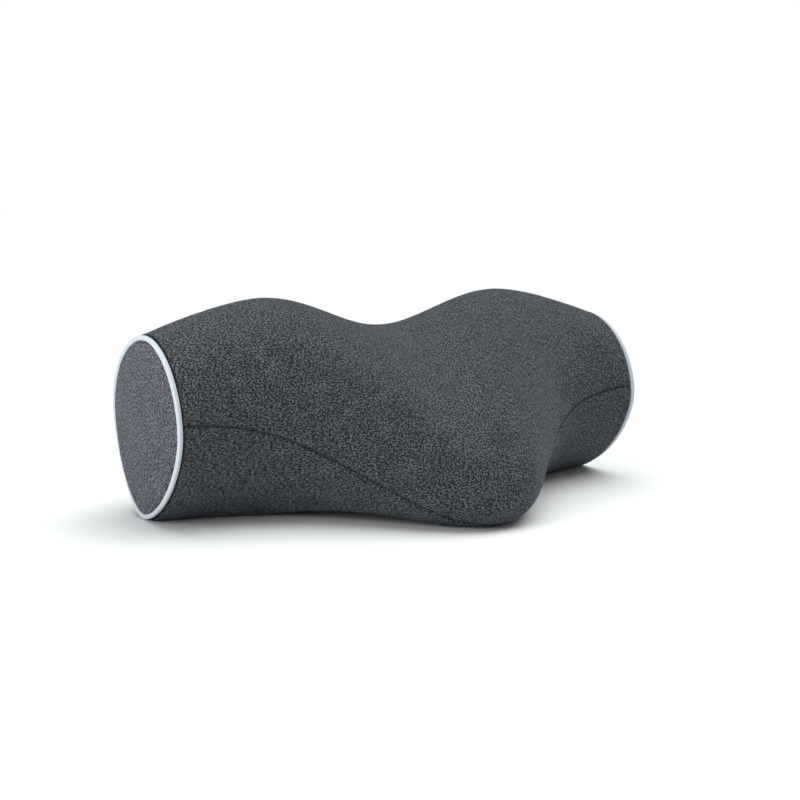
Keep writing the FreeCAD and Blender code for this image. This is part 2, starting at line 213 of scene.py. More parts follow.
class Skin:
    """The cover's outside: its distance from a line inside the pillow, at each x and angle.

    Angle 0 points to the front, a quarter turn up and a half turn to the back.
    """

    def __init__(self):
        liner = cad_tree("liner_sleeve")
        cover = cad_tree("top_panel", "bottom_panel")
        self.xs = stations(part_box("liner_sleeve")[1].x - 0.4 * MM)
        self.angles = np.linspace(-math.pi, math.pi, ANGLES, endpoint=False)
        self.mid_z = 0.45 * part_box("liner_sleeve")[1].z
        self.mid_y = np.array([self.middle(liner, x) for x in self.xs])
        inner = self.cast(liner, None)
        outer = self.cast(cover, inner)
        self.reach = smooth(smooth(outer, 3, 1, wrap=True), 2, 0)

    def middle(self, tree, x):
        """Halfway from front to back of one section, low down."""
        far = 0.4
        low = 20 * MM
        front = tree.ray_cast(Vector((x, -far, low)), Vector((0, 1, 0)))[0]
        back = tree.ray_cast(Vector((x, far, low)), Vector((0, -1, 0)))[0]
        return (front.y + back.y) / 2

    def cast(self, tree, within):
        """Outermost hit of each ray. Where it meets a seam's gap, its neighbours say how far it goes."""
        found = np.full((len(self.xs), ANGLES), np.nan)
        ways = [Vector((0, -math.cos(a), math.sin(a))) for a in self.angles]
        for i, x in enumerate(self.xs):
            origin = Vector((x, self.mid_y[i], self.mid_z))
            for j, way in enumerate(ways):
                hit = tree.ray_cast(origin + way * RAY_FAR, -way, RAY_FAR)[0]
                if hit is not None:
                    found[i, j] = (hit - origin).length
        if within is None:
            return found
        extra = found - within
        for row in extra:
            good = (row > SKIN_GAP[0]) & (row < SKIN_GAP[1])
            steps = np.arange(ANGLES)
            row[:] = np.interp(steps, steps[good], row[good], period=ANGLES)
        return within + extra

    def angle_of(self, i, y, z):
        return math.atan2(z - self.mid_z, -(y - self.mid_y[i]))

    def curve(self, i, first, last, count=900):
        """Points (y, z) of one section between two angles, evenly spaced in angle."""
        turn = np.linspace(first, last, count)
        steps = np.append(self.angles, math.pi)
        radii = np.append(self.reach[i], self.reach[i][0])
        r = np.interp((turn + math.pi) % (2 * math.pi) - math.pi, steps, radii)
        return np.stack([self.mid_y[i] - r * np.cos(turn), self.mid_z + r * np.sin(turn)], 1)


# ---------------------------------------------------------------- cloth

def step(t):
    """0 below 0, 1 above 1, smooth between."""
    t = np.clip(t, 0, 1)
    return t * t * (3 - 2 * t)


def zip_gap(x):
    """Half-height of the zip's opening at each x."""
    past = np.clip((np.abs(x) - (ZIP_HALF + 0.5 * MM - ZIP_END_R)) / ZIP_END_R, 0, 1)
    return ZIP_FOLD * np.sqrt(1 - past ** 2)


def near_zip(x):
    """1 along the zip, fading to 0 just past its ends."""
    return step((ZIP_HALF + ZIP_PAST - np.abs(x)) / ZIP_FADE)


def wave(along, period, seed):
    """An uneven ripple between about -1 and 1."""
    draw = np.random.default_rng(seed)
    total = np.zeros_like(along)
    for share, weight in ((1.0, 0.5), (1.43, 0.35), (0.61, 0.4), (2.1, 0.2)):
        total += weight * np.sin(2 * math.pi * along * share / period + draw.uniform(0, 6.28))
    return total


def grid_normals(grid):
    """Unit normals of a grid of points, from its neighbours."""
    along = np.gradient(grid, axis=0)
    across = np.gradient(grid, axis=1)
    n = np.cross(along, across)
    return n / np.maximum(np.linalg.norm(n, axis=2, keepdims=True), 1e-12)


def lengths(grid, axis):
    """Running length along one axis of a grid of points."""
    steps = np.linalg.norm(np.diff(grid, axis=axis), axis=2)
    start = np.zeros_like(np.take(steps, [0], axis))
    return np.concatenate([start, np.cumsum(steps, axis)], axis)


class Panel:
    """A cover panel between two seams: a grid of points, with each one's distance to its seams."""

    def __init__(self, skin, first, last, trims, middle_rows):
        rows = []
        from_first, to_last = [], []
        for i in range(len(skin.xs)):
            line = skin.curve(i, first[i], last[i])
            run = np.append(0, np.cumsum(np.linalg.norm(np.diff(line, axis=0), axis=1)))
            low, high = trims[0][i], run[-1] - trims[1][i]
            inner = np.linspace(low + EDGE_ROWS[-1], high - EDGE_ROWS[-1], middle_rows)[1:-1]
            at = np.concatenate([low + EDGE_ROWS, inner, high - EDGE_ROWS[::-1]])
            y, z = np.interp(at, run, line[:, 0]), np.interp(at, run, line[:, 1])
            rows.append(np.stack([np.full_like(at, skin.xs[i]), y, z], 1))
            from_first.append(at - low)
            to_last.append(high - at)
        self.base = np.array(rows)
        self.from_first = np.array(from_first)
        self.to_last = np.array(to_last)
        self.x = self.base[:, :, 0]
        self.normals = grid_normals(self.base)
        middle = self.normals.shape[1] // 2
        if self.normals[:, middle, 2].mean() * (self.base[:, middle, 2].mean() - 0.04) < 0:
            self.normals = -self.normals
        self.along = lengths(self.base, 0)
        self.across = lengths(self.base, 1)


def swell(points, normals, name, wrap=False):
    """How far a panel of padding swells between its sewn edges, by cloth simulation under pressure."""
    rows, cols = points.shape[:2]
    mesh = bpy.data.meshes.new(name)
    index = np.arange(rows * cols).reshape(rows, cols)
    faces = grid_faces(index, wrap)
    mesh.from_pydata((points - normals * SIM_START).reshape(-1, 3).tolist(), [], faces)
    if mesh.polygons[0].normal.dot(Vector(normals[0, 0])) < 0:
        mesh.flip_normals()
    cloth_piece = bpy.data.objects.new(name, mesh)
    bpy.context.scene.collection.objects.link(cloth_piece)
    sewn = cloth_piece.vertex_groups.new(name="sewn")
    edges = [index[0], index[-1]] if wrap else [index[0], index[-1], index[:, 0], index[:, -1]]
    sewn.add(np.concatenate(edges).tolist(), 1.0, "REPLACE")
    modifier = cloth_piece.modifiers.new("cloth", "CLOTH")
    settings = modifier.settings
    settings.quality = 6
    settings.mass = SIM_MASS
    settings.tension_stiffness = SIM_STRETCH
    settings.compression_stiffness = SIM_STRETCH
    settings.shear_stiffness = SIM_SHEAR
    settings.bending_stiffness = SIM_BEND
    settings.use_pressure = True
    settings.uniform_pressure_force = SIM_PRESSURE
    settings.vertex_group_mass = "sewn"
    settings.effector_weights.gravity = 0
    modifier.point_cache.frame_start = 1
    modifier.point_cache.frame_end = SIM_FRAMES
    scene = bpy.context.scene
    for number in range(1, SIM_FRAMES + 1):
        scene.frame_set(number)
    seen = cloth_piece.evaluated_get(bpy.context.evaluated_depsgraph_get())
    co = np.empty(rows * cols * 3)
    seen.data.vertices.foreach_get("co", co)
    moved = ((co.reshape(rows, cols, 3) - points) * normals).sum(2)
    scene.frame_set(1)
    bpy.data.objects.remove(cloth_piece)
    puff = PUFF_CAP * (1 - np.exp(-np.clip(moved, 0, None) / PUFF_CAP))
    return smooth(smooth(puff, 2, 0, wrap), 2, 1)


def grid_faces(index, wrap=False, flip=False):
    """Quads over a grid of vertex numbers."""
    if wrap:
        index = np.concatenate([index, index[:, :1]], 1)
    a, b, c, d = index[:-1, :-1], index[1:, :-1], index[1:, 1:], index[:-1, 1:]
    order = (a, d, c, b) if flip else (a, b, c, d)
    return np.stack([v.ravel() for v in order], 1).tolist()


# ---------------------------------------------------------------- cloth panels

def noise_at(points, size):
    """Smooth noise between -1 and 1, sampled at a grid of points."""
    flat = (points / size).reshape(-1, 3)
    return np.array([noise.noise(Vector(p)) for p in flat]).reshape(points.shape[:2])


def puckers(along, distance, period, seed):
    """The ripple that a row of stitches gathers into the cloth beside it."""
    fade = np.exp(-2 * distance / PUCKER_REACH) * (1 - np.exp(-distance / MM))
    return PUCKER * wave(along, period, seed) * fade


def groove(distance):
    """A plain seam's profile: a narrow valley with a soft shoulder beside it."""
    shoulder = SHOULDER * np.exp(-(((distance - SHOULDER_AT) / SHOULDER_WIDTH) ** 2))
    return shoulder - GROOVE_DEPTH * np.exp(-distance / GROOVE_WIDTH)


def fold(distance):
    """The turned edge beside the zip: lifted over the tape, and round at its rim."""
    lift = FOLD_LIFT * (1 - step((distance - FOLD_FLAT) / FOLD_FADE))
    rim = np.clip(FOLD_R - distance, 0, FOLD_R)
    return lift - (FOLD_R - np.sqrt(FOLD_R ** 2 - rim ** 2))


def topstitch_dip(distance):
    """The shallow valley that the row of stitches beside the zip pulls in."""
    return -TOPSTITCH_DIP * np.exp(-(((distance - TOPSTITCH) / TOPSTITCH_WIDTH) ** 2))


def relief(panel, to_front, to_rear, seed):
    """Height of a panel's own relief: seams, puckers and slight unevenness."""
    zipped = near_zip(panel.x)
    to_end = np.abs(panel.x).max() - np.abs(panel.x)
    height = groove(to_front) + puckers(panel.along, to_front, FRONT_PUCKERS, seed)
    height += (1 - zipped) * groove(to_rear) + zipped * (fold(to_rear) + topstitch_dip(to_rear))
    height += puckers(panel.along, to_rear, REAR_PUCKERS, seed + 1) * (1 - 0.5 * zipped)
    height += puckers(panel.across, to_end + 0.6 * MM, END_PUCKERS, seed + 2)
    height += SWAY * noise_at(panel.base, SWAY_SIZE)
    return height + SWAY / 3 * noise_at(panel.base, SWAY_FINE_SIZE)


def spread(coarse, rows, cols, wrap=False):
    """A coarse field over a panel, read at every row and column of its fine grid."""
    if wrap:
        coarse = np.concatenate([coarse, coarse[:, :1]], 1)
    down = np.linspace(0, coarse.shape[0] - 1, rows)
    over = np.linspace(0, coarse.shape[1] - 1, cols + 1 if wrap else cols)[:cols]
    tall = np.array([np.interp(down, range(coarse.shape[0]), c) for c in coarse.T]).T
    return np.array([np.interp(over, range(coarse.shape[1]), r) for r in tall])


def turned_in(edge, way, normals):
    """Rows that turn the cloth in at an edge: round a small radius, then straight down."""
    rows = []
    for turn in TUCK_TURNS:
        rows.append(edge + way * TUCK_R * math.sin(turn) - normals * TUCK_R * (1 - math.cos(turn)))
    rows.append(rows[-1] - normals * (TUCK - TUCK_R))
    return np.array(rows)


def tucked(outer, normals):
    """A cover panel's outside, with its two ends turned in under the piping."""
    sides = []
    for last, before in ((0, 1), (-1, -2)):
        way = outer[last] - outer[before]
        way /= np.linalg.norm(way, axis=1, keepdims=True)
        sides.append(turned_in(outer[last], way, normals[last]))
    return np.concatenate([sides[0][::-1], outer, sides[1]])


def rim_faces(outer, inner):
    """Faces that close the rim between two rows of vertices. A longer outer row fans at its ends."""
    extra = (len(outer) - len(inner)) // 2
    most = len(inner) - 1
    faces = []
    for i in range(len(outer) - 1):
        c = inner[min(max(i + 1 - extra, 0), most)]
        d = inner[min(max(i - extra, 0), most)]
        faces.append([outer[i], outer[i + 1], c, d] if c != d else [outer[i], outer[i + 1], c])
    return faces


def new_piece(name, points, faces, uvs=None, painted_seam_shade=None):
    """A smooth-shaded mesh object, its faces outwards. The last argument gives each point's painted shade,
    most in a seam.
    """
    mesh = bpy.data.meshes.new(name)
    mesh.from_pydata(np.asarray(points, float).reshape(-1, 3).tolist(), [], faces)
    sculpt = bmesh.new()
    sculpt.from_mesh(mesh)
    bmesh.ops.recalc_face_normals(sculpt, faces=sculpt.faces)
    sculpt.to_mesh(mesh)
    sculpt.free()
    if uvs is not None:
        corners = np.empty(len(mesh.loops), np.int64)
        mesh.loops.foreach_get("vertex_index", corners)
        layer = mesh.uv_layers.new(name="cloth")
        layer.data.foreach_set("uv", np.asarray(uvs, float).reshape(-1, 2)[corners].ravel())
    if painted_seam_shade is not None:
        mesh.attributes.new("painted_seam_shade", "FLOAT", "POINT").data.foreach_set("value", painted_seam_shade)
    mesh.polygons.foreach_set("use_smooth", [True] * len(mesh.polygons))
    mesh.update()
    piece = bpy.data.objects.new(name, mesh)
    bpy.context.scene.collection.objects.link(piece)
    return piece


def closed_cloth(name, outer, inner, outer_uv, inner_uv, painted_seam_shade=None):
    """A panel of cloth with its thickness: outer grid, inner grid and the rims between them."""
    top = np.arange(outer.shape[0] * outer.shape[1]).reshape(outer.shape[:2])
    low = np.arange(inner.shape[0] * inner.shape[1]).reshape(inner.shape[:2]) + top.size
    faces = grid_faces(top) + grid_faces(low, flip=True)
    for outer_row, inner_row in ((top[:, 0], low[:, 0]), (top[:, -1], low[:, -1]),
                                 (top[0], low[0]), (top[-1], low[-1])):
        faces += rim_faces(outer_row, inner_row)
    points = np.concatenate([outer.reshape(-1, 3), inner.reshape(-1, 3)])
    uvs = np.concatenate([outer_uv.reshape(-1, 2), inner_uv.reshape(-1, 2)])
    if painted_seam_shade is not None:
        painted_seam_shade = np.concatenate([painted_seam_shade.ravel(), np.zeros(low.size)])
    return new_piece(name, points, faces, uvs, painted_seam_shade)


def cover_panel(name, panel, to_front, to_rear, seed):
    """One of the cover's two long panels: its piece, and the grid of its outside."""
    rows = np.linspace(0, panel.x.shape[0] - 1, SIM_ROWS).round().astype(int)
    cols = np.linspace(0, panel.x.shape[1] - 1, SIM_COLS).round().astype(int)
    pick = np.ix_(rows, cols)
    puff = spread(swell(panel.base[pick], panel.normals[pick], name + "_sim"), *panel.x.shape)
    puff *= 1 - near_zip(panel.x) * (1 - step((to_rear - PUFF_FLAT) / PUFF_FADE))
    body = panel.base + panel.normals * puff[..., None]
    outer = body + panel.normals * relief(panel, to_front, to_rear, seed)[..., None]
    lift = near_zip(panel.x) * fold(np.maximum(to_rear, FOLD_R))
    inner = body + panel.normals * (lift - CLOTH_T)[..., None]
    outer = tucked(outer, panel.normals)
    outer[..., 2] = np.maximum(outer[..., 2], 0)
    inner[..., 2] = np.maximum(inner[..., 2], CLOTH_T)
    outer_uv = np.stack([lengths(outer, 0), lengths(outer, 1)], 2)
    outer_uv[..., 0] -= outer_uv[len(outer) // 2, :, 0]
    inner_uv = np.stack([panel.along, panel.across], 2)
    # Painted shade: each point's darkening, most in the seams, fading over CREASE_REACH, and full where the
    # cloth turns in under the piping
    painted_seam_shade = np.exp(-to_rear / CREASE_REACH) * (1 - near_zip(panel.x))
    painted_seam_shade = np.exp(-to_front / CREASE_REACH) + painted_seam_shade
    tuck_rows = ((len(TUCK_TURNS) + 1,) * 2, (0, 0))
    painted_seam_shade = np.pad(np.clip(painted_seam_shade, 0, 1), tuck_rows, mode="linear_ramp", end_values=1.0)
    piece = closed_cloth(name, outer, inner, outer_uv, inner_uv, painted_seam_shade)
    return piece, outer


# ---------------------------------------------------------------- bars, threads and ribbons

def bar(path, radius, sides, up, closed=False):
    """Points and faces of a round bar along a path, turned so that its top faces up."""
    path = np.asarray(path, float)
    if closed:
        along = np.roll(path, -1, 0) - np.roll(path, 1, 0)
    else:
        along = np.gradient(path, axis=0)
    side = np.cross(along, np.broadcast_to(up, path.shape))
    side /= np.linalg.norm(side, axis=1, keepdims=True)
    top = np.cross(side, along)
    top /= np.linalg.norm(top, axis=1, keepdims=True)
    turn = np.linspace(0, 2 * math.pi, sides, endpoint=False)
    ring = side[:, None] * np.cos(turn)[None, :, None] + top[:, None] * np.sin(turn)[None, :, None]
    radius = np.broadcast_to(radius, (len(path), sides))
    points = (path[:, None] + ring * radius[..., None]).reshape(-1, 3)
    index = np.arange(len(points)).reshape(len(path), sides)
    if closed:
        return points, grid_faces(np.concatenate([index, index[:1]]), wrap=True)
    return points, grid_faces(index, wrap=True) + [index[0].tolist(), index[-1][::-1].tolist()]


def joined(name, shells):
    """One piece from many (points, faces) shells."""
    points, faces, start = [], [], 0
    for co, polygons in shells:
        points.append(co)
        faces += [[start + v for v in face] for face in polygons]
        start += len(co)
    return new_piece(name, np.concatenate(points), faces)


def stitches(line, normals, pitch, length, height, across):
    """Short arched threads sewn along a line on the cloth, or across it."""
    run = np.append(0, np.cumsum(np.linalg.norm(np.diff(line, axis=0), axis=1)))
    places = np.arange(pitch / 2, run[-1], pitch)
    middles = np.stack([np.interp(places, run, line[:, k]) for k in range(3)], 1)
    outs = np.stack([np.interp(places, run, normals[:, k]) for k in range(3)], 1)
    ways = np.gradient(middles, axis=0)
    t = np.linspace(-1, 1, 7)
    shells = []
    for middle, way, out in zip(middles, ways, outs):
        out = out / np.linalg.norm(out)
        way = np.cross(way, out) if across else way
        way = way / np.linalg.norm(way)
        rise = height * (1 - t ** 2) - THREAD_R
        arch = middle + way * (t * length / 2)[:, None] + out * rise[:, None]
        shells.append(bar(arch, THREAD_R, 6, out))
    return shells


def ribbon(profile, xs, thickness):
    """A thin band: a profile of (y, z) points, swept along x with the given thickness."""
    way = np.gradient(profile, axis=0)
    out = np.stack([way[:, 1], -way[:, 0]], 1)
    out *= thickness / 2 / np.linalg.norm(out, axis=1, keepdims=True)
    grids = []
    for side in (profile + out, profile - out):
        x = np.broadcast_to(xs[:, None], (len(xs), len(profile)))
        yz = np.broadcast_to(side[None], (len(xs),) + side.shape)
        grids.append(np.concatenate([x[..., None], yz], 2))
    return grids


# ---------------------------------------------------------------- piping and end panels

def ring_line(side, count):
    """Centre line of one end's piping, the way out of the oval at each point, and its length."""
    co = cad_points("piping_cord_left" if side < 0 else "piping_cord_right")
    middle = (co.min(0) + co.max(0)) / 2
    turn = np.arctan2(co[:, 2] - middle[2], co[:, 1] - middle[1])
    share = ((turn + math.pi) / (2 * math.pi) * RING_BINS).astype(int) % RING_BINS
    line = np.array([(co[share == b].min(0) + co[share == b].max(0)) / 2 for b in range(RING_BINS)])
    line = smooth(line, 3, 0, wrap=True)
    loop = np.concatenate([line, line[:1]])
    run = np.append(0, np.cumsum(np.linalg.norm(np.diff(loop, axis=0), axis=1)))
    at = np.linspace(0, run[-1], count, endpoint=False)
    line = smooth(np.stack([np.interp(at, run, loop[:, k]) for k in range(3)], 1), 6, 0, wrap=True)
    way = np.roll(line, -1, 0) - np.roll(line, 1, 0)
    out = np.stack([np.zeros(count), way[:, 2], -way[:, 1]], 1)
    out /= np.linalg.norm(out, axis=1, keepdims=True)
    if (out * (line - middle)).sum() < 0:
        out = -out
    return line, out, run[-1]


def piping(side, name):
    """Bias tape round its cord: a hollow tube, slightly gathered along its seam."""
    line, out, length = ring_line(side, PIPING_COUNT)
    turn = np.linspace(0, 2 * math.pi, PIPING_SIDES, endpoint=False)
    run = np.arange(PIPING_COUNT) / PIPING_COUNT
    gather = np.cos(run * 2 * math.pi * round(length / GATHER_PITCH))
    under = np.clip(-np.sin(turn), 0, 1) ** 2
    radius = PIPING_R * (1 + GATHER * gather[:, None] * under)
    outer, outer_faces = bar(line, radius, PIPING_SIDES, out, closed=True)
    inner, inner_faces = bar(line, PIPING_HOLE_R, HOLE_SIDES, out, closed=True)
    faces = outer_faces + [[len(outer) + v for v in face] for face in inner_faces]
    around = np.tile(turn / (2 * math.pi), PIPING_COUNT)
    outer_uv = np.stack([np.repeat(run * length, PIPING_SIDES), around], 1)
    uvs = np.concatenate([outer_uv, np.zeros((len(inner), 2))])
    return new_piece(name, np.concatenate([outer, inner]), faces, uvs)


def dome(side):
    """Where the CAD end panel's outer face lies: a function of y and z that gives x."""
    co = cad_points("end_panel_left" if side < 0 else "end_panel_right")
    y, z = co[:, 1], co[:, 2]
    terms = np.stack([np.ones_like(y), y, z, y * y, z * z], 1)
    away = side * co[:, 0]
    law = np.linalg.lstsq(terms, away, rcond=None)[0]
    outer = away > terms @ law
    law = np.linalg.lstsq(terms[outer], away[outer], rcond=None)[0]
    a, b, c, d, e = law
    return lambda y, z: side * (a + b * y + c * z + d * y * y + e * z * z)


def end_panel(side, name):
    """A domed oval of cloth whose rim turns in beside the piping."""
    count = DOME_COUNT
    line, out, length = ring_line(side, count)
    centre = line.mean(0)
    rim = line - out * (PIPING_R + TUCK_R - PIPING_NIP)
    reach = np.linalg.norm((rim - centre)[:, 1:], axis=1)
    near = 1 - EDGE_ROWS[:, None] / reach
    shares = np.concatenate([near, near[-1] * np.linspace(1, 0.03, DOME_RINGS)[1:, None]])
    face = centre + (rim - centre) * shares[..., None]
    face[..., 0] = dome(side)(face[..., 1], face[..., 2])
    outwards = np.zeros_like(face)
    outwards[..., 0] = side
    rows = np.linspace(0, len(face) - 1, 12).round().astype(int)
    cols = np.arange(0, count, 6)
    pick = np.ix_(rows, cols)
    puff = swell(face[pick], outwards[pick], name + "_sim", wrap=True)
    puff = np.array([np.interp(np.arange(len(face)), rows, c) for c in puff.T]).T
    body = face + outwards * spread(puff, len(face), count, wrap=True)[..., None]
    to_rim = reach * (1 - shares)
    around = np.broadcast_to(np.arange(count) / count * length, to_rim.shape)
    height = puckers(around, to_rim + 0.4 * MM, DOME_PUCKERS, 40 + side)
    height += SWAY * noise_at(face, DOME_SWAY_SIZE)
    outer = body + outwards * height[..., None]
    outer = np.concatenate([turned_in(outer[0], out, outwards[0])[::-1], outer])
    inner = body - outwards * CLOTH_T
    top = np.arange(outer.shape[0] * count).reshape(outer.shape[:2])
    low = np.arange(inner.shape[0] * count).reshape(inner.shape[:2]) + top.size
    faces = grid_faces(top, wrap=True) + grid_faces(low, wrap=True)
    faces += rim_faces(np.append(top[0], top[0][0]), np.append(low[0], low[0][0]))
    points = np.concatenate([outer.reshape(-1, 3), inner.reshape(-1, 3)])
    for ring in (top[-1], low[-1]):
        faces += [[a, b, len(points)] for a, b in zip(ring, np.roll(ring, -1))]
        points = np.concatenate([points, points[ring].mean(0, keepdims=True)])
    piece = new_piece(name, points, faces, points[:, 1:] * [side, 1])
    width, height = np.ptp(outer[..., 1]), np.ptp(outer[..., 2])
    return piece


# ---------------------------------------------------------------- zip and label

def zip_tape(node, name, side):
    """One woven tape of the zip, with a raised cord along its outer edge."""
    low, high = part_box(node)
    xs = np.linspace(low.x, high.x, 161)
    across = np.linspace(0, high.z - low.z, 22)
    bead = TAPE_BEAD * np.exp(-(((across - TAPE_BEAD_AT) / TAPE_BEAD_WIDTH) ** 2))
    z = low.z + across if side > 0 else high.z - across
    outer = np.stack(np.broadcast_arrays(xs[:, None], high.y + bead[None], z[None]), 2)
    inner = outer.copy()
    inner[..., 1] = low.y
    return closed_cloth(name, outer, inner, outer[..., [0, 2]], outer[..., [0, 2]])


def zip_coil(node, name, side):
    """One side's nylon coil: a flattened helix whose loops reach past the middle of the zip."""
    low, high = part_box(node)
    turns = int((high.x - low.x) / COIL_PITCH) - 1
    angle = np.linspace(0, 2 * math.pi * turns, turns * COIL_STEPS)
    start = low.x + COIL_PITCH * (0.25 if side > 0 else 0.75)
    tip = ZIP_Z - side * COIL_REACH
    root = (high.z if side > 0 else low.z) - side * COIL_WIRE
    x = start + angle / (2 * math.pi) * COIL_PITCH
    y = (high.y + low.y) / 2 + ((high.y - low.y) / 2 - COIL_WIRE) * np.sin(angle)
    z = (tip + root) / 2 + (tip - root) / 2 * np.cos(angle)
    return joined(name, [bar(np.stack([x, y, z], 1), COIL_WIRE, 6, np.array([1.0, 0.0, 0.0]))])


def back_of(tree, x, z):
    """Where the cover's back lies at some x and z."""
    return tree.ray_cast(Vector((x, 0.2, z)), Vector((0, -1, 0)))[0].y


def label(cover):
    """A blank satin label: a loop that hangs out of the rear seam, and lies down the back."""
    low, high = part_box("care_label")
    x = (low.x + high.x) / 2
    drop = np.linspace(0, 1, 40)
    z = ZIP_Z - 0.2 * MM - (ZIP_Z - low.z) * drop
    rest = np.array([back_of(cover, x, height) for height in z])
    rest = np.maximum.accumulate(rest[::-1])[::-1] * 0.5 + rest * 0.5
    near = np.stack([rest + LABEL_GAP + LABEL_BOW * np.sin(math.pi * drop), z], 1)
    far = near + [LABEL_T * LABEL_LEAF, 0]
    root = np.array([low.y + 1.6 * MM, ZIP_Z - 0.1 * MM])
    over = []
    for t in np.linspace(1, 0, 9):
        over.append(far[0] * (1 - t) + root * t + [0, 0.35 * MM * math.sin(math.pi * t)])
    turn = np.linspace(0, math.pi, 9)[1:-1]
    middle = (near[-1] + far[-1]) / 2
    fold_under = [middle + np.array([math.cos(t), -math.sin(t)]) * LABEL_T * LABEL_LEAF / 2 for t in turn]
    profile = np.concatenate([np.array(over)[:-1], far, np.array(fold_under), near[::-1]])
    outer, inner = ribbon(profile, np.linspace(low.x, high.x, 13), LABEL_T)
    piece = closed_cloth("label_ribbon", outer, inner, outer[..., [0, 2]], inner[..., [0, 2]])
    lengths(outer, 1)[0, -1]
    return piece


# ---------------------------------------------------------------- materials

class Recipe:
    """One material's node tree, built by short calls."""

    def __init__(self, name, roughness, sheen=0.0, metallic=0.0):
        self.material = bpy.data.materials.new(name)
        self.material.use_nodes = True
        self.tree = self.material.node_tree
        self.tree.nodes.clear()
        output = self.tree.nodes.new("ShaderNodeOutputMaterial")
        self.shader = self.tree.nodes.new("ShaderNodeBsdfPrincipled")
        self.tree.links.new(self.shader.outputs[0], output.inputs[0])
        self.set("Roughness", roughness)
        self.set("Metallic", metallic)
        self.set("Sheen Weight", sheen)

    def set(self, socket, value):
        self.put(self.shader.inputs[socket], value)

    def put(self, socket, value):
        """Feeds an input from another node's output, or with a plain value."""
        if isinstance(value, bpy.types.NodeSocket):
            self.tree.links.new(value, socket)
        elif socket.type == "RGBA" and len(value) == 3:
            socket.default_value = (*value, 1)
        else:
            socket.default_value = value

    def node(self, kind, **settings):
        made = self.tree.nodes.new("ShaderNode" + kind)
        for key, value in settings.items():
            setattr(made, key, value)
        return made

    def math(self, operation, *values):
        made = self.node("Math", operation=operation)
        for socket, value in zip(made.inputs, values):
            self.put(socket, value)
        return made.outputs[0]

    def mix(self, share, low, high, kind="MIX"):
        made = self.node("Mix", data_type="RGBA", blend_type=kind)
        for number, value in ((0, share), (6, low), (7, high)):
            self.put(made.inputs[number], value)
        return made.outputs[2]

    def ramp(self, value, *stops):
        """A smooth run of colours over a value, from (place, colour) pairs."""
        made = self.node("ValToRGB")
        made.color_ramp.interpolation = "EASE"
        bands = made.color_ramp.elements
        while len(bands) < len(stops):
            bands.new(0.5)
        for band, (place, colour) in zip(bands, stops):
            band.position = place
            band.color = (*colour, 1)
        self.put(made.inputs[0], value)
        return made.outputs[0]

    def cloth_place(self):
        """Place on the cloth, in millimetres."""
        source = self.node("UVMap", uv_map="cloth")
        made = self.node("VectorMath", operation="SCALE")
        self.put(made.inputs[0], source.outputs[0])
        made.inputs["Scale"].default_value = 1 / MM
        return made.outputs[0]

    def solid_place(self):
        """Place in the pillow's own frame, in millimetres."""
        made = self.node("VectorMath", operation="SCALE")
        self.put(made.inputs[0], self.node("TexCoord").outputs["Object"])
        made.inputs["Scale"].default_value = 1 / MM
        return made.outputs[0]

    def turned(self, place, angle, size=(1, 1, 1)):
        """A place measured in cells of some size, whose first side lies at some angle."""
        made = self.node("Mapping", vector_type="TEXTURE")
        made.inputs["Rotation"].default_value = (0, 0, math.radians(angle))
        made.inputs["Scale"].default_value = size
        self.put(made.inputs["Vector"], place)
        return made.outputs[0]

    def noise(self, place, detail=2.0, roughness=0.5, seed=0.0):
        made = self.node("TexNoise", noise_dimensions="4D")
        for socket, value in (("Vector", place), ("W", seed), ("Scale", 1.0), ("Detail", detail),
                              ("Roughness", roughness)):
            self.put(made.inputs[socket], value)
        return made.outputs[0]

    def bump(self, height, distance, strength=1.0):
        made = self.node("Bump")
        for socket, value in (("Strength", strength), ("Distance", distance), ("Height", height)):
            self.put(made.inputs[socket], value)
        self.set("Normal", made.outputs[0])


def knit_height(r, place, wale, course):
    """A jersey knit of V-shaped stitches: its height, and each stitch's own random value."""
    axes = r.node("SeparateXYZ")
    r.put(axes.inputs[0], place)
    along = r.math("DIVIDE", axes.outputs[0], course)
    across = r.math("DIVIDE", axes.outputs[1], wale)
    leg = r.math("SUBTRACT", r.math("FRACT", across), 0.5)
    slant = r.math("ABSOLUTE", leg)
    row = r.math("ADD", along, r.math("MULTIPLY", slant, 1.3))
    rise = r.math("SINE", r.math("MULTIPLY", r.math("FRACT", row), math.pi))
    side = r.math("SINE", r.math("MULTIPLY", slant, 2 * math.pi))
    bulge = r.math("POWER", r.math("MAXIMUM", side, 0.0), 0.5)
    height = r.math("MULTIPLY", r.math("POWER", rise, 0.7), bulge)
    cell = r.node("CombineXYZ")
    r.put(cell.inputs[0], r.math("FLOOR", row))
    r.put(cell.inputs[1], r.math("FLOOR", r.math("MULTIPLY", across, 2.0)))
    random = r.node("TexWhiteNoise", noise_dimensions="2D")
    r.put(random.inputs["Vector"], cell.outputs[0])
    return height, random.outputs[0]


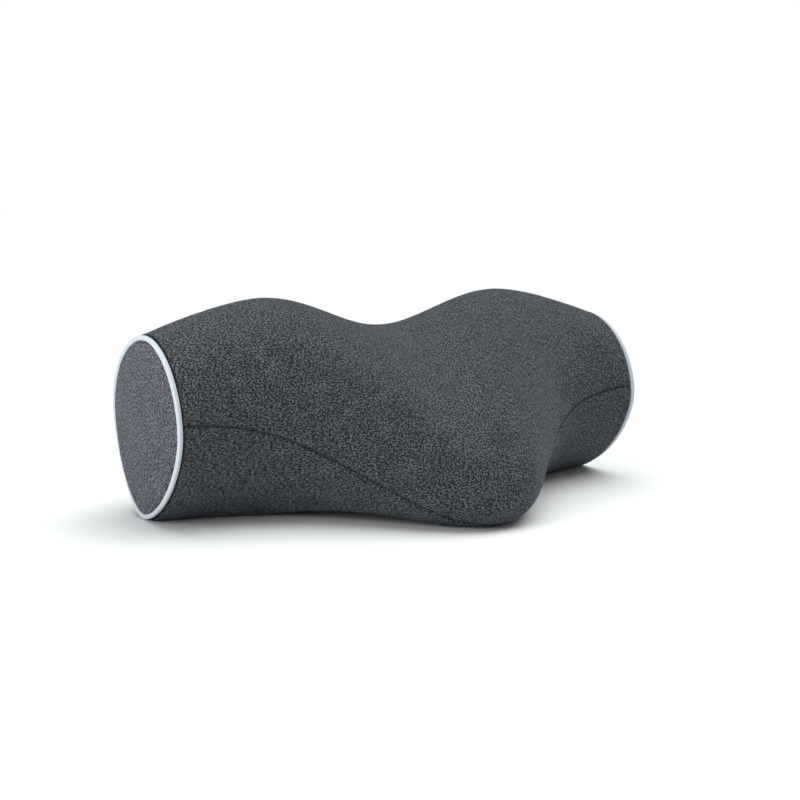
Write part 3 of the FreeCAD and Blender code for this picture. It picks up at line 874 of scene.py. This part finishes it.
def heather_knit(name, tilt, dark, middle, light):
    """Space-dyed jersey: dark yarn with pale fibres in short slanting dashes, with painted shade between
    the stitches and in the seams.
    """
    r = Recipe(name, roughness=0.95, sheen=0.08)
    r.set("Sheen Roughness", 0.5)
    r.set("Sheen Tint", (0.75, 0.82, 1.0, 1.0))
    r.set("Specular IOR Level", 0.12)
    place = r.cloth_place()
    height, random = knit_height(r, place, 0.95, 0.7)
    dash = r.noise(r.turned(place, tilt, (1.55, 0.66, 1)), detail=1.0, roughness=0.5, seed=1.0)
    cloud = r.noise(r.turned(place, tilt, (16, 9, 1)), detail=2.0, seed=8.0)
    tone = r.math("ADD", dash, r.math("MULTIPLY", r.math("SUBTRACT", random, 0.5), 0.16))
    tone = r.math("ADD", tone, r.math("MULTIPLY", r.math("SUBTRACT", cloud, 0.5), 0.10))
    colour = r.ramp(tone, (0.38, dark), (0.50, middle), (0.62, light))
    # Painted shade: the colour darkens in the hollows between stitches, following the knit's height
    stitch_gap_shade = r.math("ADD", 0.7, r.math("MULTIPLY", height, 0.45))
    stitch_gap_grey = r.node("CombineColor")
    for number in range(3):
        r.put(stitch_gap_grey.inputs[number], stitch_gap_shade)
    colour = r.mix(1.0, colour, stitch_gap_grey.outputs[0], kind="MULTIPLY")
    # Painted shade: the colour is mixed towards black by the seam-shade attribute, most in the seams and
    # where the cloth turns in under the piping
    painted_seam_shade = r.node("Attribute", attribute_name="painted_seam_shade")
    seam_shade_weight = r.math("MULTIPLY", painted_seam_shade.outputs["Fac"], CREASE_SHADE)
    r.set("Base Color", r.mix(seam_shade_weight, colour, (0, 0, 0)))
    fuzz = r.noise(r.turned(place, 0, (0.25, 0.25, 1)), detail=2.0, seed=12.0)
    r.bump(r.math("ADD", height, r.math("MULTIPLY", fuzz, 0.5)), 0.16 * MM, 0.7)
    return r.material


def satin_tape(name):
    """Pale bias tape: a fine slanting rib, with a painted satin highlight that makes its flanks whiter than
    its crown.
    """
    r = Recipe(name, roughness=0.42, sheen=0.15)
    source = r.node("UVMap", uv_map="cloth")
    axes = r.node("SeparateXYZ")
    r.put(axes.inputs[0], source.outputs[0])
    # Painted highlight: the colour grows whiter away from the tape's crown, standing in for the satin's
    # reflections along its flanks
    highlight_from_crown = r.math("ABSOLUTE", r.math("SUBTRACT", axes.outputs[1], 0.25))
    colour = r.ramp(highlight_from_crown, (0.02, (0.50, 0.57, 0.63)), (0.09, (0.68, 0.74, 0.80)))
    run = r.math("DIVIDE", axes.outputs[0], 0.45 * MM)
    slope = r.math("ADD", run, r.math("MULTIPLY", axes.outputs[1], 24))
    rib = r.math("SINE", r.math("MULTIPLY", slope, 2 * math.pi))
    cloud = r.noise(r.turned(r.solid_place(), 0, (5, 5, 5)), detail=2.0)
    r.set("Base Color", r.mix(r.math("MULTIPLY", cloud, 0.16), colour, (0.45, 0.52, 0.60)))
    r.bump(rib, 0.03 * MM, 0.5)
    return r.material


def thread(name, colour, pale):
    """Sewing thread: twisted strands."""
    r = Recipe(name, roughness=0.6, sheen=0.2)
    place = r.turned(r.solid_place(), 38, (0.35, 0.12, 0.3))
    twist = r.noise(place, detail=1.0)
    r.set("Base Color", r.ramp(twist, (0.35, colour), (0.65, pale)))
    r.bump(twist, 0.05 * MM, 0.6)
    return r.material


def cord(name):
    """The piping's cotton filler: three soft strands."""
    r = Recipe(name, roughness=0.9, sheen=0.3)
    place = r.solid_place()
    twist = r.noise(r.turned(place, 30, (1.6, 0.5, 0.9)), detail=2.0)
    r.set("Base Color", r.ramp(twist, (0.3, (0.62, 0.60, 0.55)), (0.7, (0.84, 0.82, 0.77))))
    r.bump(twist, 0.2 * MM, 0.6)
    return r.material


def woven_tape(name):
    """The zip's tape: a tight herringbone weave."""
    r = Recipe(name, roughness=0.75, sheen=0.15)
    place = r.cloth_place()
    axes = r.node("SeparateXYZ")
    r.put(axes.inputs[0], place)
    column = r.math("PINGPONG", r.math("DIVIDE", axes.outputs[1], 0.9), 1.0)
    row = r.math("FRACT", r.math("ADD", r.math("DIVIDE", axes.outputs[0], 0.42), column))
    rib = r.math("SINE", r.math("MULTIPLY", row, math.pi))
    fibre = r.noise(r.turned(place, 0, (0.9, 0.2, 1)), detail=2.0)
    r.set("Base Color", r.mix(r.math("MULTIPLY", rib, fibre), (0.012, 0.013, 0.015), (0.075, 0.080, 0.088)))
    r.bump(rib, 0.08 * MM, 0.8)
    return r.material


def nylon(name):
    """The zip's coils: dark nylon, slightly worn."""
    r = Recipe(name, roughness=0.38)
    wear = r.noise(r.turned(r.solid_place(), 0, (2.5, 0.6, 0.6)), detail=3.0)
    r.set("Base Color", r.ramp(wear, (0.3, (0.018, 0.019, 0.021)), (0.8, (0.055, 0.058, 0.062))))
    r.set("Roughness", r.math("ADD", 0.28, r.math("MULTIPLY", wear, 0.25)))
    r.bump(wear, 0.02 * MM, 0.4)
    return r.material


def plated_metal(name):
    """Gunmetal plating with fine brushing and scuffs that show brighter metal."""
    r = Recipe(name, roughness=0.35, metallic=1.0)
    place = r.solid_place()
    brushed = r.noise(r.turned(place, 0, (4.0, 0.08, 0.08)), detail=2.0)
    scuff = r.noise(r.turned(place, 0, (1.3, 1.3, 1.3)), detail=4.0, roughness=0.7, seed=3.0)
    r.set("Base Color", r.ramp(scuff, (0.45, (0.12, 0.125, 0.13)), (0.75, (0.34, 0.345, 0.35))))
    r.set("Roughness", r.math("ADD", 0.22, r.math("MULTIPLY", brushed, 0.22)))
    r.bump(r.math("ADD", brushed, scuff), 0.015 * MM, 0.5)
    return r.material


def foam(name):
    """Slow-recovery foam: cream, with fine open cells."""
    r = Recipe(name, roughness=0.9)
    place = r.solid_place()
    cells = r.node("TexVoronoi")
    r.put(cells.inputs["Vector"], r.turned(place, 0, (0.9, 0.9, 0.9)))
    cells.inputs["Scale"].default_value = 1.0
    cloud = r.noise(r.turned(place, 0, (20, 20, 20)), detail=3.0)
    pore = r.ramp(cells.outputs[0], (0.05, (0.45, 0.40, 0.30)), (0.45, (0.86, 0.80, 0.66)))
    r.set("Base Color", r.mix(r.math("MULTIPLY", cloud, 0.5), pore, (0.78, 0.68, 0.50)))
    r.bump(cells.outputs[0], 0.4 * MM, 0.7)
    return r.material


def tricot(name):
    """The thin white inner liner, a fine knit that shows a little sheen."""
    r = Recipe(name, roughness=0.7, sheen=0.3)
    place = r.turned(r.solid_place(), 20, (0.55, 0.55, 0.55))
    mesh = r.noise(place, detail=1.0)
    cloud = r.noise(r.turned(r.solid_place(), 0, (25, 25, 25)), detail=2.0)
    tone = r.ramp(mesh, (0.35, (0.66, 0.67, 0.68)), (0.6, (0.87, 0.88, 0.88)))
    r.set("Base Color", r.mix(r.math("MULTIPLY", cloud, 0.2), tone, (0.72, 0.72, 0.68)))
    r.bump(mesh, 0.1 * MM, 0.6)
    return r.material


def label_satin(name):
    """Blank white satin ribbon with fine lengthwise threads."""
    r = Recipe(name, roughness=0.35, sheen=0.2)
    place = r.turned(r.solid_place(), 0, (0.18, 3.0, 3.0))
    threads = r.noise(place, detail=2.0)
    r.set("Base Color", r.ramp(threads, (0.3, (0.70, 0.70, 0.69)), (0.7, (0.88, 0.88, 0.86))))
    r.bump(threads, 0.03 * MM, 0.5)
    return r.material


# ---------------------------------------------------------------- putting it together

def finish_piece(piece, material, slot, *stands_for):
    """Gives a piece its material and its body, and hides the CAD nodes it stands for. The slot argument is
    not used.
    """
    piece.data.materials.clear()
    piece.data.materials.append(material)
    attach(piece, "pillow")
    if stands_for:
        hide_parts(*stands_for)


def dress_nodes(material, *names):
    """Gives CAD nodes that stay as they are their real material."""
    for name in names:
        for number in range(max(len(nodes[name].material_slots), 1)):
            if not nodes[name].material_slots:
                nodes[name].data.materials.append(material)
            nodes[name].material_slots[number].material = material


def seam_angles(skin):
    """Each section's angle at the front seam and at the rear one."""
    back = (math.radians(130), math.radians(230))
    line = centre_line("front_seam_thread", skin.xs)
    front = np.array([skin.angle_of(i, y, z) for i, (y, z) in enumerate(line)])
    rear = []
    for i in range(len(skin.xs)):
        curve = skin.curve(i, *back)
        turns = np.linspace(*back, len(curve))
        rear.append(np.interp(-ZIP_Z, -curve[:, 1], turns))
    return front, np.array(rear)


def make_cover(skin, knit):
    """The cover's two long panels. Gives back each one, and the grid of its outside."""
    front, rear = seam_angles(skin)
    gaps = np.array([zip_gap(x) for x in skin.xs])
    none = np.zeros(len(skin.xs))
    top = Panel(skin, front, rear, (none, gaps), TOP_ROWS)
    bottom = Panel(skin, rear, front + 2 * math.pi, (gaps, none), BOTTOM_ROWS)
    piece, top_grid = cover_panel("cover_top", top, top.from_first, top.to_last, seed=11)
    finish_piece(piece, knit, "cover_knit", "top_panel")
    piece, bottom_grid = cover_panel("cover_bottom", bottom, bottom.to_last, bottom.from_first, seed=21)
    finish_piece(piece, knit, "cover_knit", "bottom_panel")
    return top, top_grid, bottom, bottom_grid


def seam_bars(name, line, normals):
    """Short bars of thread across a plain seam, down in its groove."""
    sunk = line - normals * (GROOVE_DEPTH - THREAD_SUNK)
    return joined(name, stitches(sunk, normals, STITCH_PITCH, STITCH_LENGTH, STITCH_RISE, across=True))


def make_seam_threads(top, bottom, material):
    """Threads that show in the front seam, and in the rear seam past each end of the zip."""
    piece = seam_bars("front_seam_stitches", top.base[:, 0], top.normals[:, 0])
    finish_piece(piece, material, "sewing_thread", "front_seam_thread")
    for side, name in ((-1, "left"), (1, "right")):
        past = bottom.x[:, 0] * side > ZIP_HALF + 1.5 * MM
        piece = seam_bars("rear_seam_stitches_" + name, bottom.base[past, 0], bottom.normals[past, 0])
        finish_piece(piece, material, "sewing_thread", "rear_seam_thread_" + name)


def make_topstitch(name, grid, column, material, node):
    """The row of stitches that holds the cover to one of the zip's tapes."""
    line = grid[:, column]
    normals = grid_normals(grid)[:, column]
    normals *= np.sign(normals[:, 1:2])
    beside = np.abs(line[:, 0]) < ZIP_HALF - 0.5 * MM
    shells = stitches(line[beside], normals[beside], STITCH_PITCH, 0.82 * STITCH_PITCH, STITCH_RISE,
                      across=False)
    finish_piece(joined(name, shells), material, "sewing_thread", node)


def make_camera():
    """The camera, at its angle and distance from the point it aims at."""
    turn = math.radians(CAMERA_TURN)
    rise = math.radians(CAMERA_RISE)
    level = math.cos(rise)
    away = Vector((-math.sin(turn) * level, -math.cos(turn) * level, math.sin(rise)))
    camera = bpy.data.objects.new("camera", bpy.data.cameras.new("camera"))
    camera.data.lens = CAMERA_LENS
    camera.location = Vector(AIM) + away * CAMERA_DISTANCE
    camera.rotation_euler = (-away).to_track_quat("-Z", "Y").to_euler()
    bpy.context.scene.collection.objects.link(camera)
    bpy.context.scene.camera = camera


def make_lamp(name, kind, away, distance, power, **settings):
    """A lamp that shines at the pillow from some direction."""
    lamp = bpy.data.lights.new(name, kind)
    lamp.energy = power
    for key, value in settings.items():
        setattr(lamp, key, value)
    holder = bpy.data.objects.new(name, lamp)
    holder.location = Vector(AIM) + Vector(away).normalized() * distance
    holder.rotation_euler = Vector(away).to_track_quat("Z", "Y").to_euler()
    bpy.context.scene.collection.objects.link(holder)


def make_sky():
    """White all round to look at, and a gentler even light to see by."""
    world = bpy.data.worlds.new("studio")
    world.use_nodes = True
    tree = world.node_tree
    light = tree.nodes["Background"]
    light.inputs[0].default_value = (0.94, 0.97, 1.0, 1)
    light.inputs[1].default_value = SKY_LIGHT
    white = tree.nodes.new("ShaderNodeBackground")
    white.inputs[0].default_value = (1, 1, 1, 1)
    path = tree.nodes.new("ShaderNodeLightPath")
    either = tree.nodes.new("ShaderNodeMixShader")
    tree.links.new(path.outputs["Is Camera Ray"], either.inputs[0])
    tree.links.new(light.outputs[0], either.inputs[1])
    tree.links.new(white.outputs[0], either.inputs[2])
    tree.links.new(either.outputs[0], tree.nodes["World Output"].inputs[0])
    bpy.context.scene.world = world


def make_studio():
    """A white floor, a very soft key from above and a softbox to the left."""
    bpy.context.scene.view_settings.view_transform = "Standard"
    make_sky()
    corners = [(x * FLOOR_HALF, y * FLOOR_HALF, 0) for x, y in ((-1, -1), (1, -1), (1, 1), (-1, 1))]
    floor = new_piece("studio_floor", corners, [[0, 1, 2, 3]])
    r = Recipe("floor_paper", roughness=0.9)
    grain = r.noise(r.turned(r.solid_place(), 0, (60, 60, 60)), detail=2.0)
    r.set("Base Color", r.mix(grain, (0.84, 0.855, 0.85), (0.86, 0.87, 0.865)))
    r.set("Specular IOR Level", 0.1)
    floor.data.materials.append(r.material)
    make_lamp("key", "SUN", KEY_FROM, 2.0, KEY_LIGHT, angle=math.radians(KEY_SPREAD))
    make_lamp("left_softbox", "AREA", LEFT_FROM, LEFT_DISTANCE, LEFT_LIGHT, shape="DISK", size=LEFT_SIZE)


def make_zip(top_grid, bottom_grid):
    """The zip's tapes and coils, and the stitches that hold the cover to them."""
    black = thread("dark_thread", (0.010, 0.011, 0.012), (0.045, 0.048, 0.052))
    weave = woven_tape("zip_weave")
    coil = nylon("zip_nylon")
    row = int(np.argmin(np.abs(EDGE_ROWS - TOPSTITCH)))
    make_topstitch("zip_topstitch_upper", top_grid, -1 - row, black, "zip_tape_thread_upper")
    make_topstitch("zip_topstitch_lower", bottom_grid, row, black, "zip_tape_thread_lower")
    for side, name in ((1, "upper"), (-1, "lower")):
        tape = zip_tape("zip_tape_" + name, "zip_web_" + name, side)
        finish_piece(tape, weave, "zip_tape", "zip_tape_" + name)
        teeth = zip_coil("zip_coil_" + name, "zip_teeth_" + name, side)
        finish_piece(teeth, coil, "zip_coil", "zip_coil_" + name)


def make_ends():
    """Both end panels and their piping."""
    knit = heather_knit("end_knit", -56, (0.020, 0.021, 0.026), (0.082, 0.087, 0.103), (0.26, 0.27, 0.30))
    satin = satin_tape("piping_satin")
    for side, name in ((-1, "left"), (1, "right")):
        finish_piece(end_panel(side, "end_cloth_" + name), knit, "end_knit", "end_panel_" + name)
        finish_piece(piping(side, "piping_" + name), satin, "piping_tape", "piping_tape_" + name)


def make_label(bottom_grid):
    """The care label, laid down the back of the lower panel."""
    numbers = np.arange(bottom_grid.size // 3).reshape(bottom_grid.shape[:2])
    back = BVHTree.FromPolygons(bottom_grid.reshape(-1, 3).tolist(), grid_faces(numbers))
    finish_piece(label(back), label_satin("label_satin"), "label_satin", "care_label")


def dress_all_nodes():
    """Materials for the CAD nodes that stay as they are."""
    dress_nodes(foam("foam_cells"), "foam_core")
    dress_nodes(tricot("liner_tricot"), "liner_sleeve", "liner_end_left", "liner_end_right")
    dress_nodes(cord("cotton_cord"), "piping_cord_left", "piping_cord_right")
    dress_nodes(thread("pale_thread", (0.40, 0.42, 0.44), (0.75, 0.78, 0.80)),
                "end_seam_thread_left", "end_seam_thread_right")
    dress_nodes(plated_metal("zip_plating"), "zip_top_stops", "zip_bottom_stop", "zip_slider", "zip_pull")


make_camera()
make_studio()
skin = Skin()
cover_knit = heather_knit("cover_knit", 34, (0.008, 0.010, 0.011), (0.040, 0.046, 0.051),
                          (0.165, 0.178, 0.190))
top, top_grid, bottom, bottom_grid = make_cover(skin, cover_knit)
make_seam_threads(top, bottom, thread("seam_thread", (0.012, 0.013, 0.014), (0.11, 0.12, 0.125)))
make_zip(top_grid, bottom_grid)
make_ends()
make_label(bottom_grid)
dress_all_nodes()
